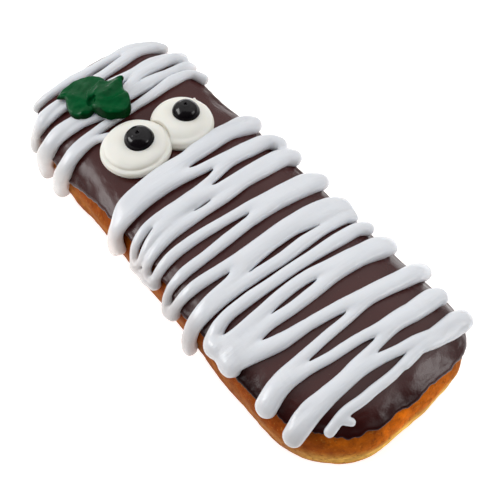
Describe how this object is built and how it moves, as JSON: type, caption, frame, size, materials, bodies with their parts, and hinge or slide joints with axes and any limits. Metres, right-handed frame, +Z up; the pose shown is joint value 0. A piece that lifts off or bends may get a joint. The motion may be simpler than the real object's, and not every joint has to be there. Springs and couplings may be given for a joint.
{
  "type": "iced bar doughnut",
  "caption": "Bar doughnut lying flat, with a chocolate coat, white icing piped across it as bandages, icing eyes with black pupils and a green icing leaf",
  "frame": {"origin": "middle of the box's footprint, on the flat of the dough's base", "axes": "+Y towards the head end with the eyes and the leaf, +X to the right seen from above with the head up, +Z up"},
  "size_m": [0.0696, 0.165, 0.0397],
  "materials": {
    "fried_dough": "matte",
    "chocolate_icing": "satin",
    "white_icing": "satin",
    "eye_icing": "satin",
    "black_icing": "gloss",
    "green_icing": "satin"
  },
  "bodies": {
    "root": {"dough": "fried_dough", "chocolate_coat": "chocolate_icing", "head_wrap": "white_icing", "body_wrap": "white_icing", "eye_left": "eye_icing", "eye_right": "eye_icing", "pupil_left": "black_icing", "pupil_right": "black_icing", "leaf": "green_icing"}
  },
  "joints": []
}
